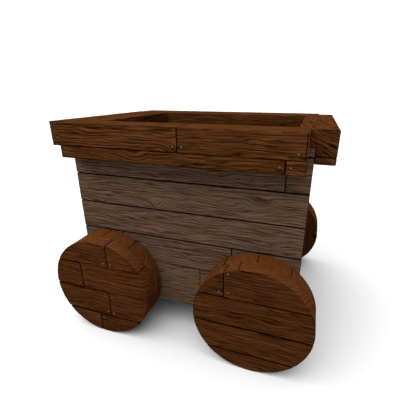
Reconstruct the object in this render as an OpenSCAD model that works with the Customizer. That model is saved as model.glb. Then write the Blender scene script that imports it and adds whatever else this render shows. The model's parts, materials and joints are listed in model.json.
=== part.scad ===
// Mine cart: an open plank tub on two wheelsets of solid plank wheels.
// Frame: origin on the ground under the tub's centre, +X the way the cart rolls, +Z up.
// Its right side is at -Y and its front end at +X. All sizes are in millimetres.

/* [Tub] */
// Outside length of the tub over its end walls
tub_length = 1050; // [900:10:1260]
// Outside width of the tub over its side walls
tub_width = 764; // [640:4:920]
// Height of the plank walls
wall_height = 792; // [680:4:950]
// Thickness of the wall planks
wall_t = 30; // [24:1:40]
// Height of one course of wall planks with its gap
course_pitch = 136.5; // [110:0.5:164]
// Height of the narrow top course, which sits in the rim boards
top_course = 35.5; // [33:0.5:43]
// Open gap between neighbouring planks
plank_gap = 2.5; // [1:0.5:4]
// Height of the lip by which a plank laps behind the next one
plank_lap = 10; // [8:1:14]

/* [Butt joints] */
// Distance of the second course's butt joint from the front end of the tub
top_butt_from_front = 90; // [74:1:110]
// Distance of the front stud, and of the butt joint over it, from the front end
front_stud_from_front = 289; // [250:1:330]
// Distance of the middle stud, and of the butt joint over it, from the front end
middle_stud_from_front = 436; // [400:1:470]
// Distance of the rear stud, and of the butt joint over it, from the rear end
rear_stud_from_rear = 217; // [180:1:250]
// Distance of the right and left rim boards' butt joints from the front end
rim_butt_from_front = 484; // [440:1:530]
// Distance of the rear rim board's butt joint from the right side of the tub
rear_rim_butt_from_right = 378; // [320:1:430]

/* [Rim] */
// Thickness of the rim boards
cap_t = 92; // [76:1:110]
// Wood left in a rim board over the top of the wall
cap_over_wall = 60; // [50:1:72]
// How far the right rim board stands out from the wall
right_cap_out = 92; // [76:1:110]
// How far the right rim board reaches in from the wall's outside
right_cap_in = 58; // [48:1:70]
// How far the left rim board stands out from the wall
left_cap_out = 93; // [76:1:110]
// How far the left rim board reaches in from the wall's outside
left_cap_in = 112; // [92:1:134]
// How far the front and rear rim boards stand out from the walls
end_cap_out = 72; // [60:1:86]
// How far the front rim board reaches in from the wall's outside
front_cap_in = 68; // [56:1:82]
// How far the rear rim board reaches in from the wall's outside
rear_cap_in = 162; // [134:1:194]
// How far the right rim board stops short of the end walls' outsides
right_cap_short = 22; // [16:1:28]
// How far the left rim board runs past the rear wall's outside
left_cap_past = 57; // [46:1:68]
// How far the front rim board runs past the left wall's outside
front_cap_past = 16; // [12:1:20]
// How far the rear rim board runs past the right wall's outside
rear_cap_past = 37; // [30:1:44]
// How far the rear rim board stops short of the left wall's outside
rear_cap_short = 29; // [24:1:34]
// Height of the lower board under the right and left rim boards
side_strip_h = 52; // [42:1:62]
// Height of the lower board under the front rim board
front_strip_h = 28; // [22:1:34]
// Height of the lower board under the rear rim board
rear_strip_h = 13; // [10:1:16]

/* [Floor and frame] */
// Side of the square corner posts
post_w = 60; // [50:1:70]
// Width of the studs along the wall
stud_w = 60; // [50:1:70]
// Depth of the studs away from the wall
stud_t = 28; // [22:1:34]
// Thickness of the floor planks
floor_t = 35; // [28:1:42]
// Number of floor planks
floor_count = 7; // [6:1:8]
// Height of the sills and headstocks
sill_h = 80; // [66:1:96]
// Width of the sills
sill_w = 80; // [70:1:96]

/* [Wheels] */
// Radius of the wheels
wheel_r = 248; // [206:1:298]
// Width of the wheels at the tread
wheel_w = 140; // [116:1:168]
// Space between a wheel and the tub wall
wheel_gap = 12; // [10:1:16]
// Wood left in a side sill between the last nut's pocket and the corner post
sill_end_wood = 5.4; // [4:0.2:40]
// Height of the axle above the bottom edge of the tub walls
axle_over_edge = 102; // [96:1:120]
// Height of one wheel plank with its gap
wheel_pitch = 135; // [112:0.5:162]
// Height above the axle of the highest full seam of the front wheels
front_seam = 105; // [85:1:125]
// Height above the axle of the highest full seam of the rear wheels
rear_seam = 126; // [105:1:150]

/* [Running gear] */
// Radius of the axle journals
journal_r = 22.5; // [20:0.5:27]
// Running clearance round the journals
running_fit = 0.05; // [0.02:0.01:0.1]
// Height of the axle's shoulders over its journals
axle_shoulder = 3.5; // [2.5:0.5:5]
// Wall of the bushes
bush_t = 7; // [5:0.5:9]
// Length of the axle boxes along the axle
box_l = 70; // [58:1:74]
// Length of an axle box past its bolts' centres
box_past_bolt = 19; // [14:1:22]
// Height of the pedestal and of the keep from the axle's centre
box_h = 45; // [38:1:54]
// Thickness of the keep under the bolts, from the axle's centre
keep_shoulder = 18; // [15:1:22]
// Side play between an axle box and the hub or the axle's shoulder
side_play = 0.9; // [0.5:0.1:1.5]
// Radius of the hub flanges
flange_r = 92; // [80:1:110]
// Thickness of the hub flanges
flange_t = 12; // [10:1:15]
// Radius of the hub bosses
boss_r = 36; // [32:1:40]
// Clearance round a hub boss where it passes the wall
boss_clearance = 10; // [8:1:14]
// Radius of the axle-box bolts
bolt_r = 8; // [6:0.5:9]
// Distance of the axle-box bolts from the axle's centre
bolt_offset = 53; // [48:1:54]
// Radius of the hub screws
screw_r = 6; // [5:0.5:7]
// Length of the hub screws under the head
screw_l = 90; // [76:1:96]
// Radius of the hub screws' circle
screw_circle_r = 66; // [56:1:74]
// Number of screws in a hub
screw_count = 6; // [4:1:8]

/* [Nails] */
// Radius of the nail heads
nail_head_r = 5; // [4:0.5:6]
// Height of the nail heads
nail_head_h = 2; // [1.5:0.5:3]
// Radius of the nail shanks
nail_r = 2; // [1.5:0.5:2.5]
// Length of the nails under the head
nail_l = 46; // [38:1:54]
// Distance of a nail from a butt joint
nail_to_butt = 18; // [14:1:22]
// Distance of a nail from a plank's long edge
nail_to_edge = 22; // [16:1:28]
// Distance of the last nail from the front end of the right rim board
end_nail = 29; // [24:1:34]

/* [Hidden] */

$fn = 96;
cut = 1;             // how far a cutting shape runs past the face it cuts
seat_fit = 0.02;     // clearance where a piece is pressed into its seat
hole_fit = 0.3;      // clearance of a bolt in its hole
lap_fit = 0.8;       // clearance between a plank's lip and the plank before it
bolt_room = 2;       // clearance round a bolt head in its notch in the keep
nut_room = 3;        // clearance round a nut in its pocket
nut_sunk = 4;        // depth of the pocket over the nut
bolt_sunk = 2;       // distance of a bolt's end below the floor

// Names for the two ends and the two sides, as signs along X and Y
front = 1;
rear = -1;
right = -1;
left = 1;

// Heights
axle_z = wheel_r;
wall_bottom = axle_z - axle_over_edge;
wall_top = wall_bottom + wall_height;
rim_top = wall_top + cap_over_wall;
rim_bottom = rim_top - cap_t;
lap_z = rim_top - cap_t / 2;
sill_bottom = axle_z + box_h;
sill_top = sill_bottom + sill_h;
floor_top = sill_top + floor_t;
side_strip_bottom = rim_bottom - side_strip_h;

// Half lengths and half widths
half_l = tub_length / 2;
half_w = tub_width / 2;
in_l = half_l - wall_t;
in_w = half_w - wall_t;
post_l = in_l - post_w;
post_y = in_w - post_w;
tall = rim_top * 2;  // taller than anything, for cutting shapes

// Courses of planks, counted from the top
course_count = 1 + ceil((wall_height - top_course) / course_pitch);
function course_top(i) = i == 0 ? wall_top : wall_top - top_course - (i - 1) * course_pitch - plank_gap;
function course_bottom(i) = max(wall_bottom, wall_top - top_course - i * course_pitch);

// Studs stand behind the side walls' butt joints that the corner posts don't carry
front_stud = half_l - front_stud_from_front;
middle_stud = half_l - middle_stud_from_front;
rear_stud = -half_l + rear_stud_from_rear;
stud_places = [front_stud, rear_stud, middle_stud];

// Butt joints of the side walls: course and place along X
top_butt = half_l - top_butt_from_front;
wall_butts = [[1, top_butt], [4, front_stud], [4, rear_stud], [5, middle_stud]];
// Butt joints of the rim: right and left boards along X, rear board along Y
rim_butt = half_l - rim_butt_from_front;
rear_rim_butt = -half_w + rear_rim_butt_from_right;
// A saw kerf across the face of the right rim board near its front end
kerf_from_end = 6;
kerf_depth = 5;
kerf_x = half_l - right_cap_short - kerf_from_end;

// Wheels: height of one seam above the axle, and butt joints as plank number from that seam and place
function seam_over_axle(end) = end == rear ? rear_seam : front_seam;
function wheel_butts(end) = end == rear ? [[0, 60], [-1, -90], [-2, 47], [-3, -17]] : [[0, -114]];

bolt_head_r = bolt_r * 1.7;
bolt_head_h = bolt_r * 1.3;
nut_pocket_r = bolt_head_r + nut_room;
nut_pocket_h = bolt_head_h + nut_sunk;
axle_x = post_l - sill_end_wood - nut_pocket_r - bolt_offset;
axle_body_r = journal_r + axle_shoulder;
box_half = bolt_offset + box_past_bolt;
wheel_in = half_w + wheel_gap;
wheel_mid = wheel_in + wheel_w / 2;
wheel_out = wheel_in + wheel_w;
box_y = in_w - sill_w / 2;
box_out = box_y + box_l / 2;
box_in = box_y - box_l / 2;
bush_r = journal_r + running_fit + bush_t;
wall_hole_r = boss_r + boss_clearance;
screw_head_r = screw_r * 1.6;
screw_head_h = wheel_gap * 0.6;

wall_wood = [0.35, 0.26, 0.20];
rim_wood = [0.36, 0.21, 0.10];
wheel_wood = [0.42, 0.24, 0.11];
inner_wood = [0.40, 0.30, 0.20];
iron = [0.25, 0.25, 0.27];
bronze = [0.60, 0.45, 0.25];

// ---- Shared shapes ----

// A box between two corners
module block(low, high) {
    translate(low) cube(high - low);
}

// A cylinder along Y between two places
module along_y(r, x, z, y0, y1) {
    translate([x, y0, z]) rotate([-90, 0, 0]) cylinder(h = y1 - y0, r = r);
}

// A nail at a point of a face, with its head outside and its shank against the direction out
module nail(p, out, l = nail_l) {
    turn = [out[1] * -90, out[0] * 90, 0] + [out[2] < 0 ? 180 : 0, 0, 0];
    translate(p) rotate(turn) {
        cylinder(h = nail_head_h, r1 = nail_head_r, r2 = nail_head_r * 0.7, $fn = 24);
        translate([0, 0, -l]) cylinder(h = l, r = nail_r, $fn = 24);
    }
}

// The section of a lapped plank: X from its back to its face, Y from edge to edge.
// Its lower edge has a lip at the back, and its upper edge is cut back for its neighbour's lip.
module lapped_section(low, high, thick, lip_below, lip_above) {
    half = thick / 2;
    polygon(concat(
        [[0, low - lip_below], [0, high - lip_above]],
        lip_above > 0 ? [[half + lap_fit, high - lip_above], [half + lap_fit, high]] : [],
        [[thick, high], [thick, low]],
        lip_below > 0 ? [[half, low], [half, low - lip_below]] : []
    ));
}

// A section drawn in X and Y is extruded along X, with its own X along Y and its Y along Z
module extrude_x(x0, x1) {
    translate([x0, 0, 0]) rotate([90, 0, 90]) linear_extrude(x1 - x0) children();
}

// The same along Y, with the section's X along X and its Y along Z
module extrude_y(y0, y1) {
    translate([0, y1, 0]) rotate([90, 0, 0]) linear_extrude(y1 - y0) children();
}

// The same along Y, with the section's X along Z and its Y along X
module extrude_flat(y0, y1) {
    translate([0, y0, 0]) rotate([90, 0, 90]) rotate([90, 0, 90]) linear_extrude(y1 - y0) children();
}

// ---- Tub walls ----

// The section of one course of wall planks
module course_section(i) {
    last = i == course_count - 1;
    lapped_section(course_bottom(i), course_top(i), wall_t, last ? 0 : plank_lap, i == 0 ? 0 : plank_lap);
}

// One course of a side wall: planks between the butt joints
module side_course(i) {
    places = [for (b = wall_butts) if (b[0] == i) b[1]];
    ends = len(places) == 2 ? [-half_l, places[1], places[0], half_l]
        : len(places) == 1 ? [-half_l, places[0], half_l] : [-half_l, half_l];
    for (k = [0 : len(ends) - 2]) {
        lo = ends[k] + (k > 0 ? plank_gap / 2 : 0);
        hi = ends[k + 1] - (k < len(ends) - 2 ? plank_gap / 2 : 0);
        translate([0, in_w, 0]) extrude_x(lo, hi) course_section(i);
    }
}

// A side wall stands at +Y and is mirrored for the right side
module side_wall() {
    difference() {
        for (i = [0 : course_count - 1]) side_course(i);
        for (x = [-axle_x, axle_x]) along_y(wall_hole_r, x, axle_z, in_w - cut, half_w + cut);
    }
}

// An end wall stands at +X and is mirrored for the rear
module end_wall() {
    for (i = [0 : course_count - 1])
        translate([in_l, 0, 0]) extrude_y(-in_w, in_w) course_section(i);
}

module right_wall_planks() { color(wall_wood) mirror([0, 1, 0]) side_wall(); }
module left_wall_planks() { color(wall_wood) side_wall(); }
module front_wall_planks() { color(wall_wood) end_wall(); }
module rear_wall_planks() { color(wall_wood) mirror([1, 0, 0]) end_wall(); }

// ---- Posts, studs, floor and frame ----

module corner_post(end, side) {
    x0 = end > 0 ? post_l : -in_l;
    y0 = side > 0 ? post_y : -in_w;
    color(inner_wood) block([x0, y0, wall_bottom + plank_gap], [x0 + post_w, y0 + post_w, rim_bottom]);
}

module side_studs() {
    color(inner_wood) for (x = stud_places, side = [right, left]) {
        y0 = side > 0 ? in_w - stud_t : -in_w;
        block([x - stud_w / 2, y0, floor_top], [x + stud_w / 2, y0 + stud_t, rim_bottom]);
    }
}

module end_studs() {
    color(inner_wood) for (end = [rear, front]) {
        x0 = end > 0 ? in_l - stud_t : -in_l;
        block([x0, -stud_w / 2, floor_top], [x0 + stud_t, stud_w / 2, rim_bottom]);
    }
}

module floor_planks() {
    pitch = 2 * in_l / floor_count;
    color(inner_wood) difference() {
        for (i = [0 : floor_count - 1]) {
            first = i == 0;
            last = i == floor_count - 1;
            lo = -in_l + i * pitch + (first ? 0 : plank_gap / 2);
            hi = -in_l + (i + 1) * pitch - (last ? 0 : plank_gap / 2);
            translate([0, 0, sill_top]) extrude_flat(-in_w, in_w)
                lapped_section(lo, hi, floor_t, first ? 0 : plank_lap, last ? 0 : plank_lap);
        }
        for (x = [-in_l, post_l], y = [-in_w, post_y])
            block([x, y, sill_top - cut], [x + post_w, y + post_w, floor_top + cut]);
    }
}

// A sill runs along the cart under the floor; its bolt holes end in pockets for the nuts
module side_sill(side) {
    y0 = side > 0 ? in_w - sill_w : -in_w;
    color(inner_wood) difference() {
        block([-post_l, y0, sill_bottom], [post_l, y0 + sill_w, sill_top]);
        for (end = [rear, front], k = [-1, 1])
            translate([end * axle_x + k * bolt_offset, side * box_y, sill_bottom - cut]) {
                cylinder(h = sill_h + 2 * cut, r = bolt_r + hole_fit);
                translate([0, 0, sill_h + cut - nut_pocket_h])
                    cylinder(h = nut_pocket_h + cut, r = nut_pocket_r);
            }
    }
}

module right_sill() { side_sill(right); }
module left_sill() { side_sill(left); }

module centre_sill() {
    color(inner_wood) block([-post_l, -sill_w / 2, sill_bottom], [post_l, sill_w / 2, sill_top]);
}

module headstock(end) {
    x0 = end > 0 ? post_l : -in_l;
    color(inner_wood) block([x0, -post_y, sill_bottom], [x0 + post_w, post_y, sill_top]);
}

module front_headstock() { headstock(front); }
module rear_headstock() { headstock(rear); }

// ---- Rim ----

// Outlines of the four rim boards before they are halved together
right_board = [[-half_l + right_cap_short, -half_w - right_cap_out],
               [half_l - right_cap_short, -half_w + right_cap_in]];
left_board = [[-half_l - left_cap_past, half_w - left_cap_in], [half_l, half_w + left_cap_out]];
front_board = [[half_l - front_cap_in, -half_w], [half_l + end_cap_out, half_w + front_cap_past]];
rear_board = [[-half_l - end_cap_out, -half_w - rear_cap_past],
              [-half_l + rear_cap_in, half_w - rear_cap_short]];

// A board's outline as a solid between two heights
module slab(outline, z0, z1) {
    block([outline[0][0], outline[0][1], z0], [outline[1][0], outline[1][1], z1]);
}

// The walls as one solid ring, for the grooves under the rim boards
module wall_ring(top) {
    difference() {
        block([-half_l, -half_w, 0], [half_l, half_w, top]);
        block([-in_l, -in_w, -cut], [in_l, in_w, top + cut]);
    }
}

module gap_along_x(x) {
    block([x - plank_gap / 2, -2 * tub_width, 0], [x + plank_gap / 2, 2 * tub_width, tall]);
}

module gap_along_y(y) {
    block([-2 * tub_length, y - plank_gap / 2, 0], [2 * tub_length, y + plank_gap / 2, tall]);
}

// Side boards keep the upper half of each corner lap, end boards the lower half
module side_board(outline) {
    color(rim_wood) difference() {
        slab(outline, rim_bottom, rim_top);
        slab(front_board, 0, lap_z);
        slab(rear_board, 0, lap_z);
        wall_ring(wall_top);
        gap_along_x(rim_butt);
    }
}

module end_board(outline) {
    difference() {
        slab(outline, rim_bottom, rim_top);
        slab(right_board, lap_z, tall);
        slab(left_board, lap_z, tall);
        wall_ring(wall_top);
    }
}

module right_rim_board() {
    face = -half_w - right_cap_out;
    difference() {
        side_board(right_board);
        block([kerf_x - plank_gap / 2, face - cut, rim_bottom - cut],
              [kerf_x + plank_gap / 2, face + kerf_depth, rim_top + cut]);
    }
}
module left_rim_board() { side_board(left_board); }
module front_rim_board() { color(rim_wood) end_board(front_board); }
module rear_rim_board() {
    color(rim_wood) difference() {
        end_board(rear_board);
        gap_along_y(rear_rim_butt);
    }
}

// Lower boards lie under the rim boards against the outside of the walls
module strip(outline, h) {
    difference() {
        slab(outline, rim_bottom - h, rim_bottom);
        block([-half_l, -half_w, 0], [half_l, half_w, tall]);
    }
}

module right_rim_strip() {
    color(rim_wood) difference() {
        strip(right_board, side_strip_h);
        gap_along_x(top_butt);
    }
}
module left_rim_strip() {
    color(rim_wood) difference() {
        strip(left_board, side_strip_h);
        gap_along_x(top_butt);
    }
}
module front_rim_strip() {
    color(rim_wood) difference() {
        strip(front_board, front_strip_h);
        slab(left_board, 0, tall);
    }
}
module rear_rim_strip() {
    color(rim_wood) difference() {
        strip(rear_board, rear_strip_h);
        slab(right_board, 0, tall);
        slab(left_board, 0, tall);
    }
}

// ---- Axle boxes ----

// The seat of a bush with the two bolt holes beside it, for cutting
module box_bores(end, side) {
    x = end * axle_x;
    along_y(bush_r + seat_fit, x, axle_z, side * box_y - box_l, side * box_y + box_l);
    for (k = [-1, 1])
        translate([x + k * bolt_offset, side * box_y, 0]) cylinder(h = tall, r = bolt_r + hole_fit);
}

module pedestal(end, side) {
    x = end * axle_x;
    y = side * box_y;
    color(iron) difference() {
        block([x - box_half, y - box_l / 2, axle_z], [x + box_half, y + box_l / 2, sill_bottom]);
        box_bores(end, side);
    }
}

// The keep closes the axle box from below; its lower corners are cut away
module keep(end, side) {
    x = end * axle_x;
    y = side * box_y;
    color(iron) difference() {
        translate([x, y + box_l / 2, axle_z]) rotate([90, 0, 0]) linear_extrude(box_l)
            polygon([
                [-box_half, 0], [box_half, 0],
                [box_half, -keep_shoulder], [box_half - keep_shoulder, -keep_shoulder],
                [journal_r + bush_t, -box_h], [-journal_r - bush_t, -box_h],
                [-box_half + keep_shoulder, -keep_shoulder], [-box_half, -keep_shoulder]
            ]);
        box_bores(end, side);
        for (k = [-1, 1])
            translate([x + k * bolt_offset, y, axle_z - keep_shoulder - tall])
                cylinder(h = tall, r = bolt_head_r + bolt_room);
    }
}

module bush(end, side) {
    x = end * axle_x;
    y0 = side * box_y - box_l / 2;
    color(bronze) difference() {
        along_y(bush_r, x, axle_z, y0, y0 + box_l);
        along_y(journal_r + running_fit, x, axle_z, y0 - cut, y0 + box_l + cut);
    }
}

// Bolts rise through the keep, the pedestal and the sill, with their nuts in the sill's pockets
bolt_seat = axle_z - keep_shoulder;
bolt_end = sill_top - bolt_sunk;
nut_seat = sill_top - nut_pocket_h;

module at_box_bolts(z) {
    for (end = [rear, front], side = [right, left], k = [-1, 1])
        translate([end * axle_x + k * bolt_offset, side * box_y, z]) children();
}

module axle_box_bolts() {
    color(iron) {
        at_box_bolts(bolt_seat - bolt_head_h) {
            cylinder(h = bolt_head_h, r = bolt_head_r, $fn = 6);
            translate([0, 0, bolt_head_h]) cylinder(h = bolt_end - bolt_seat, r = bolt_r);
        }
    }
}

module axle_box_nuts() {
    color(iron) at_box_bolts(nut_seat) difference() {
        cylinder(h = bolt_head_h, r = bolt_head_r, $fn = 6);
        translate([0, 0, -cut]) cylinder(h = bolt_head_h + 2 * cut, r = bolt_r + seat_fit);
    }
}

// ---- Wheelsets ----

// The axle has a thicker body between the axle boxes and ends inside the hub flanges
module axle(end) {
    x = end * axle_x;
    shoulder = box_in - side_play;
    tip = wheel_in + flange_t;
    color(iron) {
        along_y(axle_body_r, x, axle_z, -shoulder, shoulder);
        along_y(journal_r, x, axle_z, -tip, -shoulder);
        along_y(journal_r, x, axle_z, shoulder, tip);
    }
}

// Places of the hub screws on the wheel's face
module at_screws(end) {
    for (k = [0 : screw_count - 1]) {
        a = k * 360 / screw_count;
        translate([end * axle_x + screw_circle_r * cos(a), 0, axle_z + screw_circle_r * sin(a)]) children();
    }
}

// Wheel parts are drawn on the left side and mirrored for the right side
module on_side(side) {
    if (side < 0) mirror([0, 1, 0]) children();
    else children();
}

module hub(end, side) {
    x = end * axle_x;
    color(iron) on_side(side) difference() {
        union() {
            along_y(flange_r, x, axle_z, wheel_in, wheel_in + flange_t);
            along_y(boss_r, x, axle_z, box_out + side_play, wheel_in);
        }
        along_y(journal_r + seat_fit, x, axle_z, box_out - cut, wheel_in + flange_t + cut);
        at_screws(end) along_y(screw_r + hole_fit, 0, 0, wheel_in - cut, wheel_in + flange_t + cut);
    }
}

// The rows of planks of a wheel's outer layer, between seams one pitch apart
function row_low(end, n) = seam_over_axle(end) + n * wheel_pitch + plank_gap / 2;
function row_high(end, n) = row_low(end, n) + wheel_pitch - plank_gap;
function row_at(end, z) = floor((z - seam_over_axle(end)) / wheel_pitch);

module wheel_outer(end, side) {
    x = end * axle_x;
    color(wheel_wood) on_side(side) intersection() {
        along_y(wheel_r, x, axle_z, wheel_mid, wheel_out);
        difference() {
            for (n = [row_at(end, -wheel_r) : row_at(end, wheel_r)])
                block([x - wheel_r, wheel_mid, axle_z + row_low(end, n)],
                      [x + wheel_r, wheel_out, axle_z + row_high(end, n)]);
            for (b = wheel_butts(end))
                block([x + b[1] - plank_gap / 2, wheel_mid - cut, axle_z + row_low(end, b[0]) - cut],
                      [x + b[1] + plank_gap / 2, wheel_out + cut, axle_z + row_high(end, b[0]) + cut]);
        }
    }
}

// The inner layer's planks cross the outer ones, and the hub flange is let into it
module wheel_inner(end, side) {
    x = end * axle_x;
    half_count = ceil(wheel_r / wheel_pitch);
    color(wheel_wood) on_side(side) difference() {
        intersection() {
            along_y(wheel_r, x, axle_z, wheel_in, wheel_mid);
            for (n = [-half_count : half_count - 1])
                block([x + n * wheel_pitch + plank_gap / 2, wheel_in, axle_z - wheel_r],
                      [x + (n + 1) * wheel_pitch - plank_gap / 2, wheel_mid, axle_z + wheel_r]);
        }
        along_y(flange_r + seat_fit, x, axle_z, wheel_in - cut, wheel_in + flange_t);
    }
}

module hub_screws(end) {
    color(iron) for (side = [right, left]) on_side(side) at_screws(end) {
        along_y(screw_r, 0, 0, wheel_in, wheel_in + screw_l);
        translate([0, wheel_in, 0]) rotate([90, 0, 0]) cylinder(h = screw_head_h, r = screw_head_r, $fn = 6);
    }
}

// Nails stand in pairs on both sides of each butt joint, on the face and on the tread where it ends
module wheel_nails(end) {
    x = end * axle_x;
    edge = wheel_r - 2 * nail_head_r;
    color(iron) for (side = [right, left]) on_side(side) for (b = wheel_butts(end), k = [-1, 1]) {
        nx = b[1] + k * nail_to_butt;
        rim_z = sqrt(edge * edge - nx * nx);
        for (z = [row_low(end, b[0]) + nail_to_edge, row_high(end, b[0]) - nail_to_edge])
            if (abs(z) < rim_z) nail([x + nx, wheel_out, axle_z + z], [0, 1, 0]);
        if (row_high(end, b[0]) > rim_z) {
            lean = asin(nx / wheel_r);
            for (y = [wheel_mid + wheel_w / 4 - nail_to_edge / 2, wheel_mid + wheel_w / 4 + nail_to_edge / 2])
                translate([x, y, axle_z]) rotate([0, lean, 0]) nail([0, 0, wheel_r], [0, 0, 1]);
        }
    }
}

// ---- Nails of the tub ----

module wall_nails() {
    color(iron) {
        for (side = [right, left]) on_side(side) {
            // from outside, beside the butt joints
            for (b = wall_butts, k = [-1, 1])
                for (z = [course_top(b[0]) - nail_to_edge, course_bottom(b[0]) + nail_to_edge])
                    if (z < side_strip_bottom - nail_head_r && !in_wall_hole(b[1] + k * nail_to_butt, z))
                        nail([b[1] + k * nail_to_butt, half_w, z], [0, 1, 0]);
            // from inside, through the studs and posts
            for (i = [1 : course_count - 1]) {
                z = (course_top(i) + course_bottom(i)) / 2;
                if (z > floor_top + nail_head_r) {
                    for (x = stud_places) nail([x, in_w - stud_t, z], [0, -1, 0]);
                    for (x = [-in_l + post_w / 2, in_l - post_w / 2])
                        nail([x, post_y, z], [0, -1, 0], post_w + wall_t * 0.7);
                }
            }
        }
        for (i = [1 : course_count - 1]) {
            z = (course_top(i) + course_bottom(i)) / 2;
            if (z > floor_top + nail_head_r) {
                nail([in_l - stud_t, 0, z], [-1, 0, 0]);
                nail([-in_l + stud_t, 0, z], [1, 0, 0]);
            }
        }
    }
}

// Whether a nail would fall in an axle's hole in the wall
function in_wall_hole(x, z) = norm([abs(x) - axle_x, z - axle_z]) < wall_hole_r + 2 * nail_head_r;

module rim_nails() {
    right_face = -half_w - right_cap_out;
    low = rim_bottom + nail_to_edge;
    color(iron) {
        for (k = [-1, 1]) nail([rim_butt + k * nail_to_butt, right_face, low], [0, -1, 0]);
        for (k = [-1, 1])
            nail([top_butt + k * nail_to_butt, right_face, rim_bottom - side_strip_h / 2], [0, -1, 0]);
        nail([half_l - right_cap_short - end_nail, right_face, low], [0, -1, 0]);
        nail([half_l - right_cap_short / 2, -half_w, low], [0, -1, 0]);
        nail([-half_l - end_cap_out / 2, -half_w - rear_cap_past, low], [0, -1, 0]);
        for (x = [-half_l + rear_cap_in / 2, rim_butt - nail_to_butt,
                  rim_butt + nail_to_butt, half_l - front_cap_in / 2])
            nail([x, half_w + left_cap_out, low], [0, 1, 0]);
    }
}

// Where a floor nail goes along X, so that it stays clear of the nuts' pockets
function beside_nuts(x) = let (
    room = nut_pocket_r + nail_head_r,
    near = [for (end = [rear, front], k = [-1, 1]) let (b = end * axle_x + k * bolt_offset)
        if (abs(x - b) < room) b]
) len(near) == 0 ? x : near[0] + (x < near[0] ? -room : room);

// The floor nails are driven flush, so that a load lies on the planks
module floor_nails() {
    pitch = 2 * in_l / floor_count;
    color(iron) for (i = [0 : floor_count - 1], k = [-1, 1], y = [-box_y, 0, box_y]) {
        x = -in_l + (i + 0.5) * pitch + k * (pitch / 2 - nail_to_edge);
        if (abs(x) < post_l) nail([beside_nuts(x), y, floor_top - nail_head_h], [0, 0, 1]);
    }
}

// ---- Nodes ----

right_wall_planks();
left_wall_planks();
front_wall_planks();
rear_wall_planks();
corner_post(front, right);  // corner_post_front_right
corner_post(front, left);  // corner_post_front_left
corner_post(rear, right);  // corner_post_rear_right
corner_post(rear, left);  // corner_post_rear_left
side_studs();
end_studs();
floor_planks();
right_sill();
left_sill();
centre_sill();
front_headstock();
rear_headstock();
right_rim_board();
left_rim_board();
front_rim_board();
rear_rim_board();
right_rim_strip();
left_rim_strip();
front_rim_strip();
rear_rim_strip();
pedestal(front, right);  // pedestal_front_right
pedestal(front, left);  // pedestal_front_left
pedestal(rear, right);  // pedestal_rear_right
pedestal(rear, left);  // pedestal_rear_left
keep(front, right);  // keep_front_right
keep(front, left);  // keep_front_left
keep(rear, right);  // keep_rear_right
keep(rear, left);  // keep_rear_left
bush(front, right);  // bush_front_right
bush(front, left);  // bush_front_left
bush(rear, right);  // bush_rear_right
bush(rear, left);  // bush_rear_left
axle_box_bolts();
axle_box_nuts();
wall_nails();
rim_nails();
floor_nails();
axle(front);  // front_axle
hub(front, right);  // hub_front_right
hub(front, left);  // hub_front_left
wheel_outer(front, right);  // wheel_front_right_outer
wheel_inner(front, right);  // wheel_front_right_inner
wheel_outer(front, left);  // wheel_front_left_outer
wheel_inner(front, left);  // wheel_front_left_inner
hub_screws(front);  // front_hub_screws
wheel_nails(front);  // front_wheel_nails
axle(rear);  // rear_axle
hub(rear, right);  // hub_rear_right
hub(rear, left);  // hub_rear_left
wheel_outer(rear, right);  // wheel_rear_right_outer
wheel_inner(rear, right);  // wheel_rear_right_inner
wheel_outer(rear, left);  // wheel_rear_left_outer
wheel_inner(rear, left);  // wheel_rear_left_inner
hub_screws(rear);  // rear_hub_screws
wheel_nails(rear);  // rear_wheel_nails
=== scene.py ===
"""The looks of a wooden mine cart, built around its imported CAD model. Lengths are in metres."""

import json
import math
import random

import bmesh
import bpy
import numpy as np
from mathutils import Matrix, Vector, noise
from mathutils.bvhtree import BVHTree


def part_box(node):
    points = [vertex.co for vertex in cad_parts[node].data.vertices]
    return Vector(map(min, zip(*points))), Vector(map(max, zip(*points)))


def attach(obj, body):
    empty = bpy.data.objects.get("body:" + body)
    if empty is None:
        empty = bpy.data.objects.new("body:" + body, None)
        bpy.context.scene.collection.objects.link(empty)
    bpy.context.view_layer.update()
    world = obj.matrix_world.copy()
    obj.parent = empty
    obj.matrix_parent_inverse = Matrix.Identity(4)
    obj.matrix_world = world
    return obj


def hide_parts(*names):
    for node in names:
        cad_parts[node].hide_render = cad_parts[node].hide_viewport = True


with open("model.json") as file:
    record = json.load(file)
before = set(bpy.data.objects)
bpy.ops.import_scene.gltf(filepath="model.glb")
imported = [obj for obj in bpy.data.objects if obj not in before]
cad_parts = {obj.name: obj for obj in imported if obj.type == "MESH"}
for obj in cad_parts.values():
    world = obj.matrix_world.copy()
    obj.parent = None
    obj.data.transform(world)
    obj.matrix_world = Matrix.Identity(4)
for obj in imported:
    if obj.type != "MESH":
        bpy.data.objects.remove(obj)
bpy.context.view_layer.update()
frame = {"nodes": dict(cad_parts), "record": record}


# ---- Camera ----

FIELD_OF_VIEW = math.radians(70)
TURN = math.radians(18.79)      # the camera looks this far to the left of +Y
TILT = math.radians(21.49)      # and this far down
CAMERA_INSET = 0.011            # from the front end of the tub, along X
CAMERA_DISTANCE = 1.104         # from the right wall, along Y
CAMERA_HEIGHT = 0.1185          # over the rim


def make_camera():
    wall_low, wall_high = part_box("right_wall_planks")
    rim_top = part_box("right_rim_board")[1].z
    data = bpy.data.cameras.new("camera")
    data.sensor_width = 36
    data.lens = data.sensor_width / 2 / math.tan(FIELD_OF_VIEW / 2)
    camera = bpy.data.objects.new("camera", data)
    camera.location = (
        wall_high.x - CAMERA_INSET,
        wall_low.y - CAMERA_DISTANCE,
        rim_top + CAMERA_HEIGHT,
    )
    camera.rotation_euler = (math.pi / 2 - TILT, 0, TURN)
    bpy.context.scene.collection.objects.link(camera)
    bpy.context.scene.camera = camera


# ---- Node trees ----


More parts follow.
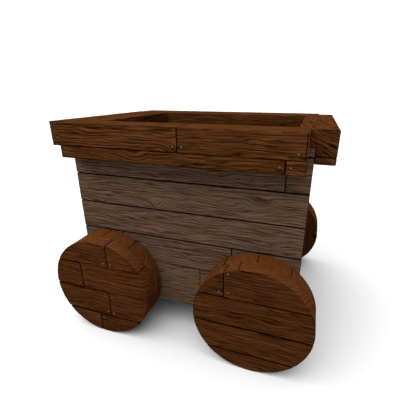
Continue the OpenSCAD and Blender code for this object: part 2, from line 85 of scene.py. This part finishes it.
def linear(red, green, blue):
    """A colour given as the 0-255 values a picture of it shows, as a shader needs it."""
    def channel(value):
        share = value / 255
        return share / 12.92 if share <= 0.04045 else ((share + 0.055) / 1.055) ** 2.4

    return (channel(red), channel(green), channel(blue), 1.0)


class Graph:
    """A node tree under construction. Each call adds one node and returns its output."""

    def __init__(self, tree):
        self.tree = tree
        tree.nodes.clear()

    def add(self, kind, inputs=(), output=0, **settings):
        node = self.tree.nodes.new(kind)
        for key, value in settings.items():
            setattr(node, key, value)
        for key, value in dict(inputs).items():
            if isinstance(value, bpy.types.NodeSocket):
                self.tree.links.new(value, node.inputs[key])
            elif value is not None:
                node.inputs[key].default_value = value
        return node.outputs[output] if len(node.outputs) else node

    def math(self, operation, a, b=None, c=None, clamp=False):
        return self.add("ShaderNodeMath", {0: a, 1: b, 2: c}, operation=operation, use_clamp=clamp)

    def noise(self, vector, scale=1.0, detail=2.0, roughness=0.5, distortion=0.0, output="Fac"):
        values = {
            "Vector": vector,
            "Scale": scale,
            "Detail": detail,
            "Roughness": roughness,
            "Distortion": distortion,
        }
        return self.add("ShaderNodeTexNoise", values, output)

    def spread(self, value, low, high, to_low=0.0, to_high=1.0):
        """value carried smoothly from the range low to high onto another."""
        values = {0: value, 1: low, 2: high, 3: to_low, 4: to_high}
        return self.add("ShaderNodeMapRange", values, interpolation_type="SMOOTHSTEP")

    def split(self, vector):
        node = self.tree.nodes.new("ShaderNodeSeparateXYZ")
        self.tree.links.new(vector, node.inputs[0])
        return node.outputs

    def join(self, x, y, z):
        return self.add("ShaderNodeCombineXYZ", {0: x, 1: y, 2: z})

    def ramp(self, value, stops):
        """A colour for a value from 0 to 1, from (place, colour) stops."""
        node = self.tree.nodes.new("ShaderNodeValToRGB")
        elements = node.color_ramp.elements
        while len(elements) < len(stops):
            elements.new(0.5)
        for element, (place, colour) in zip(elements, stops):
            element.position = place
            element.color = colour
        self.tree.links.new(value, node.inputs[0])
        return node.outputs[0]

    def mix(self, share, a, b, blend="MIX"):
        values = {0: share, 6: a, 7: b}
        return self.add("ShaderNodeMix", values, 2, data_type="RGBA", blend_type=blend)

    def attribute(self, name):
        return self.add("ShaderNodeAttribute", output="Vector", attribute_name=name)


def new_material(name):
    material = bpy.data.materials.new(name)
    material.use_nodes = True
    return material, Graph(material.node_tree)


def finish_material(graph, colour, roughness, height, depth, specular, metallic=0.0):
    """Puts a colour, a roughness and a height pattern on the surface. depth is the height's size."""
    bump = graph.add("ShaderNodeBump", {"Height": height, "Strength": 1.0, "Distance": depth})
    shader = graph.add(
        "ShaderNodeBsdfPrincipled",
        {"Base Color": colour, "Roughness": roughness, "Normal": bump, "Metallic": metallic},
    )
    shader.node.inputs["Specular IOR Level"].default_value = specular
    graph.add("ShaderNodeOutputMaterial", {"Surface": shader})


# ---- Wood ----

WOODS = {
    # slot: dark, middle and light colour of the grain
    "wall_planks": ((36, 25, 17), (68, 50, 38), (86, 65, 50)),
    "rim_boards": ((20, 8, 2), (52, 28, 11), (74, 43, 20)),
    "wheel_planks": ((20, 8, 2), (48, 25, 9), (67, 37, 16)),
    "frame_timber": ((52, 37, 25), (84, 61, 43), (112, 85, 62)),
}
SEAM_SHADE = 0.12       # what is left of the colour inside a seam, as painted shade
YEAR_SLANT = 0.45       # how steeply the year layers rise across a board
YEARS = 80              # year layers in a metre
YEAR_DRIFT = 3.0        # how far the layers wander, counted in layers

# Patterns in the wood: features in a metre along the grain, beside the year layers and through them
SLOW_BENDS = (2.6, 5, 7.5)
QUICK_BENDS = (10, 16, 24)
KNOTS = (3.1, 4, 7.5)
DRIFT = (7, 11, 34)
CLEAR_LINES = (5, 10, 22)
STREAKS = (7, 12, 270)
BANDS = (3.2, 9, 40)
FIBRES = (110, 420, 620)
CHECKS = (3.4, 12, 60)
DIRT = (2.4, 7, 11)

# How far each of them bends the layers, in metres
SLOW_BEND = 0.042
QUICK_BEND = 0.018
KNOT_BEND = 0.030


def wood(slot):
    """Sawn wood in layers: u runs along the grain, r through the year layers and t beside them."""
    material, graph = new_material(slot)
    dark, middle, light = WOODS[slot]
    u, t, through = graph.split(graph.attribute("grain"))
    r = graph.math("MULTIPLY_ADD", t, YEAR_SLANT, through)

    def place(along, beside, through, layer=r):
        """The point with its three lengths scaled: how many features there are in a metre."""
        return graph.join(
            graph.math("MULTIPLY", u, along),
            graph.math("MULTIPLY", t, beside),
            graph.math("MULTIPLY", layer, through),
        )

    # slow waves and knots bend the layers
    slow = graph.noise(place(*SLOW_BENDS), 1.0, 1.0)
    quick = graph.noise(place(*QUICK_BENDS), 1.0, 1.0)
    to_knot = graph.add("ShaderNodeTexVoronoi", {"Vector": place(*KNOTS), "Scale": 1.0}, "Distance")
    knot = graph.spread(to_knot, 0.0, 0.34, 1.0, 0.0)
    layer = graph.math("MULTIPLY_ADD", slow, SLOW_BEND, r)
    layer = graph.math("MULTIPLY_ADD", quick, QUICK_BEND, layer)
    layer = graph.math("MULTIPLY_ADD", knot, KNOT_BEND, layer)

    # thin dark year lines that come and go, soft streaks between them, and fibres
    drift = graph.noise(place(*DRIFT, layer), 1.0, 2.0, 0.6)
    years = graph.math("MULTIPLY_ADD", drift, YEAR_DRIFT, graph.math("MULTIPLY", layer, YEARS))
    wave = graph.math("SINE", graph.math("MULTIPLY", years, 2 * math.pi))
    clear = graph.spread(graph.noise(place(*CLEAR_LINES, layer), 1.0, 2.0), 0.35, 0.62, 0.60, 1.0)
    lines = graph.math("MULTIPLY", graph.spread(wave, 0.30, 0.95), clear)
    streaks = graph.spread(graph.noise(place(*STREAKS, layer), 1.0, 2.0, 0.6), 0.34, 0.66)
    bands = graph.spread(graph.noise(place(*BANDS, layer), 1.0, 2.0), 0.33, 0.67)
    fibres = graph.noise(place(*FIBRES, layer), 1.0, 2.0, 0.6)
    tone = graph.math("MULTIPLY_ADD", lines, -0.44, 0.51)
    tone = graph.math("MULTIPLY_ADD", streaks, 0.52, tone)
    tone = graph.math("MULTIPLY_ADD", bands, 0.05, tone)
    tone = graph.math("MULTIPLY_ADD", graph.math("ADD", fibres, -0.5), 0.38, tone)
    facing = graph.split(graph.add("ShaderNodeNewGeometry", output="Normal"))[2]
    side_grain = graph.spread(graph.math("ABSOLUTE", facing), 0.55, 0.95, 1.0, 0.5)
    # the first share is the board's own tone times the painted light on the wheels' treads, the second says
    # whether a face is a tread
    board, tread, _ = graph.split(graph.attribute("board_tone_and_tread_light"))
    side_grain = graph.math("MULTIPLY", side_grain, graph.math("MULTIPLY_ADD", tread, -0.4, 1.0))
    tone = graph.math("MULTIPLY_ADD", graph.math("ADD", tone, -0.70), side_grain, 0.70)
    colour = graph.ramp(tone, [(0.18, linear(*dark)), (0.68, linear(*middle)), (1.0, linear(*light))])

    # thin dark checks where a band is dark, and a dark heart in a knot
    split = graph.noise(place(*CHECKS, layer), 1.0, 2.0, 0.5)
    check = graph.spread(graph.math("ABSOLUTE", graph.math("ADD", split, -0.5)), 0.003, 0.020, 1.0, 0.0)
    check = graph.math("MULTIPLY", check, graph.spread(bands, 0.05, 0.35, 0.50, 0.0))
    check = graph.math("MULTIPLY", check, side_grain)
    check = graph.math("MAXIMUM", check, graph.spread(to_knot, 0.02, 0.09, 0.8, 0.0))
    colour = graph.mix(check, colour, linear(*(value * 0.45 for value in dark)))

    # the board's own tone with painted light on the wheels' treads, dirt in patches, and painted shade in
    # the seams
    patch = graph.noise(place(*DIRT), 1.0, 3.0)
    shade = graph.math("MULTIPLY", board, graph.math("MULTIPLY_ADD", patch, 0.12, 0.95))
    seam = graph.split(graph.attribute("seam"))[0]
    # painted shade: the colour darkens where other wood closes off the directions round an edge
    shade = graph.math("MULTIPLY", shade, graph.spread(seam, 0.02, 0.45, 1.0, SEAM_SHADE))
    colour = graph.mix(1.0, colour, graph.join(shade, shade, shade), "MULTIPLY")

    roughness = graph.spread(tone, 0.0, 1.0, 0.92, 0.76)
    height = graph.math("MULTIPLY_ADD", tone, 0.5, graph.math("MULTIPLY", fibres, 0.2))
    height = graph.math("MULTIPLY_ADD", check, -1.0, height)
    finish_material(graph, colour, roughness, height, depth=0.0012, specular=0.0)
    return material


def islands(mesh):
    """Each separate solid of a mesh, as a bmesh of its own, from low to high and from rear to front."""
    whole = bmesh.new()
    whole.from_mesh(mesh)
    bmesh.ops.remove_doubles(whole, verts=whole.verts, dist=1e-5)
    seen = set()
    found = []
    for first in whole.verts:
        if first in seen:
            continue
        group, queue = [], [first]
        seen.add(first)
        while queue:
            vertex = queue.pop()
            group.append(vertex)
            fresh = {edge.other_vert(vertex) for edge in vertex.link_edges} - seen
            seen |= fresh
            queue += sorted(fresh, key=lambda other: other.index)
        one = bmesh.new()
        copies = {vertex: one.verts.new(vertex.co) for vertex in sorted(group, key=lambda v: v.index)}
        faces = {face.index: face for vertex in group for face in vertex.link_faces}
        for index in sorted(faces):
            one.faces.new([copies[vertex] for vertex in faces[index].verts])
        one.normal_update()
        found.append(one)
    whole.free()
    return sorted(found, key=lambda one: [round(value, 4) for value in middle_of(one).zxy])


def middle_of(board):
    return sum((vertex.co for vertex in board.verts), Vector()) / len(board.verts)


SHARP = math.radians(30)
SLIVER = 0.0001         # edges shorter than this are closed up
RAY_COUNT = 26          # directions in which an edge looks for other wood
SKIN = 0.0006           # how far off the surface such a look starts
ROUND = 0.0022          # how far a board's edges are rounded
WEAR = 0.0014           # how far wear moves an edge in
CHIP = 0.004            # how far a chip goes in
CUT_EVERY = 0.035       # spacing along a board of the places where its edges can wander
SEAM_REACH = 0.007      # an edge with other wood this near is in a seam and gets painted shade
NARROW = 0.008          # faces under this width can take painted shade as a whole
TREAD_PAINTED_LIGHT = 1.7      # how much paler the wheels' treads are painted, as painted light from above
TREAD_FROM = 0.97       # the tread begins at this share of a wheel's radius
TREAD_WEAR = 0.0006     # how far feet and ore have worn the floor planks below the nail heads


def extent(points, axis):
    values = [point[axis] for point in points]
    return min(values), max(values)


def ray_fan():
    """Directions spread evenly over a ball."""
    for k in range(RAY_COUNT):
        height = 1 - (2 * k + 1) / RAY_COUNT
        turn = k * math.pi * (3 - math.sqrt(5))
        flat = math.sqrt(1 - height * height)
        yield Vector((flat * math.cos(turn), flat * math.sin(turn), height))


RAYS = list(ray_fan())


def in_seam(vertex, wood_around):
    """The share of the open directions at an edge that other wood closes off, painted in later as shade."""
    start = vertex.co + vertex.normal * SKIN
    open_ways = [ray for ray in RAYS if ray.dot(vertex.normal) > 0.25]
    closed = sum(1 for ray in open_ways if wood_around.ray_cast(start, ray, SEAM_REACH)[0])
    return closed / len(open_ways)


def is_narrow(face):
    return face.calc_area() < NARROW * max(edge.calc_length() for edge in face.edges)


def is_covered(face, wood_around):
    """Whether other wood lies right in front of the middle of a face."""
    start = face.calc_center_median() + face.normal * SKIN
    return wood_around.ray_cast(start, face.normal, SEAM_REACH)[0] is not None


def wear_board(board, order, hub, wood_around):
    """Rounds a board's edges and lets them wander in, never out. order is its axes: along, beside, through.
    Returns its lowest and highest corners, and for each vertex how far other wood closes it in, for painted
    shade in seams."""
    low, high = zip(*(extent([v.co for v in board.verts], axis) for axis in range(3)))
    along = order[0]
    bmesh.ops.dissolve_limit(board, angle_limit=math.radians(1), verts=board.verts, edges=board.edges)
    cuts = max(2, round((high[along] - low[along]) / CUT_EVERY))
    direction = [0, 0, 0]
    direction[along] = 1
    for cut in range(1, cuts):
        place = [0, 0, 0]
        place[along] = low[along] + (high[along] - low[along]) * cut / cuts
        everything = board.verts[:] + board.edges[:] + board.faces[:]
        bmesh.ops.bisect_plane(board, geom=everything, dist=1e-6, plane_co=place, plane_no=direction)
    sharp = [
        edge for edge in board.edges
        if len(edge.link_faces) == 2 and edge.is_convex and edge.calc_face_angle() > SHARP
    ]
    bmesh.ops.bevel(
        board, geom=sharp, offset=ROUND, segments=2, profile=0.6, affect="EDGES", clamp_overlap=True
    )
    bmesh.ops.dissolve_degenerate(board, dist=SLIVER, edges=board.edges)
    board.normal_update()
    # faces that take painted shade as a whole: narrow ones, and ones with other wood right in front of them
    dark = {face for face in board.faces if is_narrow(face) or is_covered(face, wood_around)}
    seams = [
        in_seam(vertex, wood_around) if dark.issuperset(vertex.link_faces) else 0.0
        for vertex in board.verts
    ]
    reach = ROUND * 1.1
    for vertex in board.verts:
        drift = noise.noise(vertex.co * 18) * 0.5 + 0.5
        chip = max(0.0, noise.noise(vertex.co * 31 + Vector((7, 3, 5))) - 0.45) * 2
        step = WEAR * drift + CHIP * chip
        for axis in range(3):
            if axis == along:
                continue
            if 1e-6 < vertex.co[axis] - low[axis] < reach:
                vertex.co[axis] += step
            elif 1e-6 < high[axis] - vertex.co[axis] < reach:
                vertex.co[axis] -= step
        if hub:
            spoke = Vector((vertex.co.x - hub[0].x, 0, vertex.co.z - hub[0].z))
            if 1e-6 < hub[1] - spoke.length < reach:
                vertex.co -= spoke.normalized() * step * 0.6
    return Vector(low), Vector(high), seams


def on_tread(face, hub):
    """Whether a face is on the running surface of a wheel, which is painted paler than its sides as painted
    light from above.
    """
    if not hub:
        return False
    middle = face.calc_center_median()
    spoke = Vector((middle.x - hub[0].x, 0, middle.z - hub[0].z))
    return spoke.length > TREAD_FROM * hub[1] and face.normal.dot(spoke.normalized()) > 0.7


def add_piece(name, points, faces, columns, material, smooth_under):
    """A new object in place of a CAD node. columns are its attributes, by point or by face corner."""
    mesh = bpy.data.meshes.new(f"{name}_worn")
    mesh.from_pydata(points, [], faces)
    for title, rows in columns.items():
        domain = "POINT" if len(rows) == len(points) else "CORNER"
        layer = mesh.attributes.new(title, "FLOAT_VECTOR", domain)
        layer.data.foreach_set("vector", [value for row in rows for value in row])
    mesh.materials.append(material)
    mesh.polygons.foreach_set("use_smooth", [True] * len(mesh.polygons))
    mesh.set_sharp_from_angle(angle=smooth_under)
    piece = bpy.data.objects.new(f"{name}_worn", mesh)
    bpy.context.scene.collection.objects.link(piece)
    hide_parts(name)
    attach(piece, body_of[name])


def boards(name, grain, material, wood_around, seed):
    """Worn boards in place of a wooden CAD node. grain is the axis letters along, beside and through."""
    rng = random.Random(seed)
    order = ["xyz".index(letter) for letter in grain]
    hub = None
    if name.startswith("wheel"):
        low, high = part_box(name)
        hub = ((low + high) / 2, (high.z - low.z) / 2)
    points, faces = [], []
    columns = {"grain": [], "board_tone_and_tread_light": [], "seam": []}
    for board in islands(frame["nodes"][name].data):
        low, high, seams = wear_board(board, order, hub, wood_around)
        if name == "floor_planks":
            for vertex in board.verts:
                if high.z - vertex.co.z < TREAD_WEAR + ROUND:
                    vertex.co.z -= TREAD_WEAR
        shift = Vector((rng.uniform(0, 40), rng.uniform(0, 40), rng.uniform(0, 40)))
        tone = rng.uniform(0.95, 1.05)
        board.verts.index_update()
        first = len(points)
        for vertex, seam in zip(board.verts, seams):
            points.append(vertex.co.copy())
            columns["grain"].append(Vector((vertex.co[axis] for axis in order)) + shift)
            columns["seam"].append((seam, 0, 0))
        board.normal_update()
        for face in board.faces:
            faces.append([first + vertex.index for vertex in face.verts])
            tread = on_tread(face, hub)
            # painted light: a tread's colour is made paler, as though lit from above
            row = (tone * (TREAD_PAINTED_LIGHT if tread else 1), float(tread), 0)
            columns["board_tone_and_tread_light"] += [row] * len(face.verts)
        board.free()
    add_piece(name, points, faces, columns, material, math.radians(20))


def grain_of(name):
    """The axes of a wooden node: along its boards, beside their year layers, and through them."""
    if name.startswith("wheel"):
        return "xyz" if name.endswith("outer") else "zyx"
    if name.startswith("corner_post") or name == "side_studs":
        return "zyx"
    if name == "end_studs":
        return "zxy"
    if name.startswith(("front", "rear")) or name == "floor_planks":
        return "yxz"
    return "xyz"


# ---- Metal ----

METALS = {
    # slot: dark and light colour, share of rust, roughness, metallic
    "cast_iron": ((38, 37, 37), (66, 64, 63), 0.35, 0.72, 0.6),
    "forged_iron": ((52, 50, 49), (92, 90, 88), 0.35, 0.55, 0.8),
    "bronze": ((98, 70, 34), (150, 112, 62), 0.10, 0.42, 0.9),
}

RUST = (86, 50, 30)


def metal(slot):
    material, graph = new_material(slot)
    dark, light, rust_share, roughness, metallic = METALS[slot]
    place = graph.add("ShaderNodeTexCoord", output="Object")
    cloud = graph.noise(place, 22.0, 4.0, 0.6)
    pits = graph.noise(place, 260.0, 3.0, 0.65)
    colour = graph.ramp(graph.spread(cloud, 0.3, 0.7), [(0.0, linear(*dark)), (1.0, linear(*light))])
    rust = graph.spread(graph.math("MULTIPLY_ADD", pits, 0.35, cloud), 0.66, 0.86)
    rust = graph.math("MULTIPLY", rust, rust_share * 2, clamp=True)
    colour = graph.mix(rust, colour, linear(*RUST))
    rough = graph.math("MULTIPLY_ADD", rust, 0.9 - roughness, roughness)
    bare = graph.math("MULTIPLY_ADD", rust, -metallic, metallic)
    finish_material(graph, colour, rough, pits, depth=0.0006, specular=0.35, metallic=bare)
    return material


def nail_metal():
    """A nail head: grey with a painted highlight at the top of its dome, and nearly black round its rim,
    partly rust and partly painted shade where it meets the wood.
    """
    material, graph = new_material("nail_iron")
    grain = graph.attribute("grain")
    cloud = graph.noise(grain, 400.0, 3.0)
    # painted highlight on the top of the dome, fading to the rim's rust and painted shade
    dome_highlight = graph.split(graph.attribute("dome_highlight"))[0]
    dome_highlight = graph.math("MULTIPLY_ADD", cloud, 0.35, graph.math("ADD", dome_highlight, -0.15), clamp=True)
    colour = graph.ramp(dome_highlight, [(place, linear(*tone)) for place, tone in NAIL_TONES])
    rough = graph.spread(dome_highlight, 0.2, 0.8, 0.9, 0.55)
    finish_material(graph, colour, rough, cloud, depth=0.0002, specular=0.2, metallic=0.0)
    return material


# The colour of a nail head, from its near-black rim of rust and painted shade to the painted highlight on
# its top
NAIL_TONES = [(0.25, (17, 15, 14)), (0.6, (48, 52, 55)), (1.0, (70, 77, 82))]

# A nail's shape: radius as a share of the head's, height as a share of the head's, and its share of painted
# highlight
NAIL_PROFILE = [
    (1.00, 0.00, 0.0), (0.94, 0.22, 0.0), (0.80, 0.42, 0.0), (0.66, 0.58, 0.1),
    (0.56, 0.80, 0.8), (0.36, 0.94, 1.0), (0.14, 1.00, 1.0),
]
NAIL_SIDES = 14


def nails(name, material):
    """Hammered nails with domed heads in place of a CAD node of nails."""
    points, faces = [], []
    columns = {"grain": [], "dome_highlight": []}
    for nail in islands(frame["nodes"][name].data):
        spots = np.array([vertex.co for vertex in nail.verts])
        middle = spots.mean(axis=0)
        axis = np.linalg.svd(spots - middle)[2][0]
        along = (spots - middle) @ axis
        beside = np.linalg.norm(spots - middle - np.outer(along, axis), axis=1)
        widest = beside.argmax()
        if along[widest] < 0:
            axis, along = -axis, -along
        head_radius = beside[widest]
        head_base, head_top, tip = along[beside > 0.99 * head_radius].mean(), along.max(), along.min()
        shank_radius = beside[np.abs(along - tip) < 1e-4].max()
        rings = [(shank_radius, tip, 0.0), (shank_radius, head_base, 0.0)]
        rings += [
            (head_radius * radius, head_base + (head_top - head_base) * height, dome_highlight)
            for radius, height, dome_highlight in NAIL_PROFILE
        ]
        centre, out = Vector(middle), Vector(axis)
        side = out.orthogonal().normalized()
        other = out.cross(side)
        first = len(points)
        for radius, height, dome_highlight in rings:
            for k in range(NAIL_SIDES):
                turn = 2 * math.pi * k / NAIL_SIDES
                spoke = side * math.cos(turn) + other * math.sin(turn)
                points.append(centre + out * height + spoke * radius)
                columns["grain"].append(points[-1])
                columns["dome_highlight"].append((dome_highlight, 0, 0))
        for ring in range(len(rings) - 1):
            for k in range(NAIL_SIDES):
                a, b = first + ring * NAIL_SIDES + k, first + ring * NAIL_SIDES + (k + 1) % NAIL_SIDES
                faces.append([a, b, b + NAIL_SIDES, a + NAIL_SIDES])
        faces.append([first + k for k in reversed(range(NAIL_SIDES))])
        faces.append([first + (len(rings) - 1) * NAIL_SIDES + k for k in range(NAIL_SIDES)])
        nail.free()
    add_piece(name, points, faces, columns, material, math.radians(40))


# ---- Studio ----

SIDE_LIGHT = 0.32       # brightness of the room on the camera's side
WALL_LIGHT = 1.05       # and of the wall in front of the camera
KEY_LIGHT = 6.2         # what the great soft light overhead adds
KEY_SIDE = (-0.19, -0.30, 0.93)     # the direction that it shines from
WALL_EDGE = (0.25, 0.62)            # where the wall's light begins and is full, as a cosine
KEY_EDGE = (0.55, 0.95)             # and where the key light's does
FLOOR_SHADE = 0.42                  # how pale the floor is


def make_floor():
    bpy.ops.mesh.primitive_plane_add(size=60)
    floor = bpy.context.object
    floor.name = "studio_floor"
    material, graph = new_material("studio_floor")
    cloud = graph.noise(graph.add("ShaderNodeTexCoord", output="Object"), 0.6, 2.0)
    colour = graph.ramp(cloud, [(place, (FLOOR_SHADE + place * 0.02,) * 3 + (1,)) for place in (0.0, 1.0)])
    finish_material(graph, colour, 0.95, cloud, depth=0.0001, specular=0.0)
    floor.data.materials.append(material)


def make_world():
    """A great soft light over a dim room, with a white wall in front of the camera."""
    world = bpy.data.worlds.new("studio")
    bpy.context.scene.world = world
    world.use_nodes = True
    graph = Graph(world.node_tree)
    direction = graph.add("ShaderNodeTexCoord", output="Generated")

    def towards(side):
        side = Vector(side).normalized()[:]
        return graph.add("ShaderNodeVectorMath", {0: direction, 1: side}, "Value", operation="DOT_PRODUCT")

    wall = graph.spread(towards((-math.sin(TURN), math.cos(TURN), 0)), *WALL_EDGE, SIDE_LIGHT, WALL_LIGHT)
    key = graph.spread(towards(KEY_SIDE), *KEY_EDGE, 0.0, KEY_LIGHT)
    strength = graph.math("ADD", wall, key)
    sky = graph.add("ShaderNodeBackground", {"Color": (1, 1, 1, 1), "Strength": strength})
    graph.add("ShaderNodeOutputWorld", {"Surface": sky})


# ---- The cart ----

make_camera()
bpy.context.scene.view_settings.view_transform = "Standard"

slots = {part["node"]: part["material_slot"] for part in frame["record"]["subparts"]}
body_of = {node: body for body, nodes in frame["record"]["behaviour"]["bodies"].items() for node in nodes}
woods = {slot: wood(slot) for slot in WOODS}
metals = {slot: metal(slot) for slot in METALS}
nail_iron = nail_metal()

# all the wood as one surface, to find the edges that lie in seams and paint shade into them
corners, polygons = [], []
for name in sorted(frame["nodes"]):
    if slots[name] in woods:
        mesh = frame["nodes"][name].data
        polygons += [[len(corners) + index for index in face.vertices] for face in mesh.polygons]
        corners += [vertex.co for vertex in mesh.vertices]
all_wood = BVHTree.FromPolygons(corners, polygons)

for number, name in enumerate(sorted(frame["nodes"])):
    slot = slots[name]
    if slot in woods:
        boards(name, grain_of(name), woods[slot], all_wood, seed=100 + number)
    elif slot == "nail_iron":
        nails(name, nail_iron)
    else:
        materials = frame["nodes"][name].data.materials
        materials.clear()
        materials.append(metals[slot])

make_floor()
make_world()
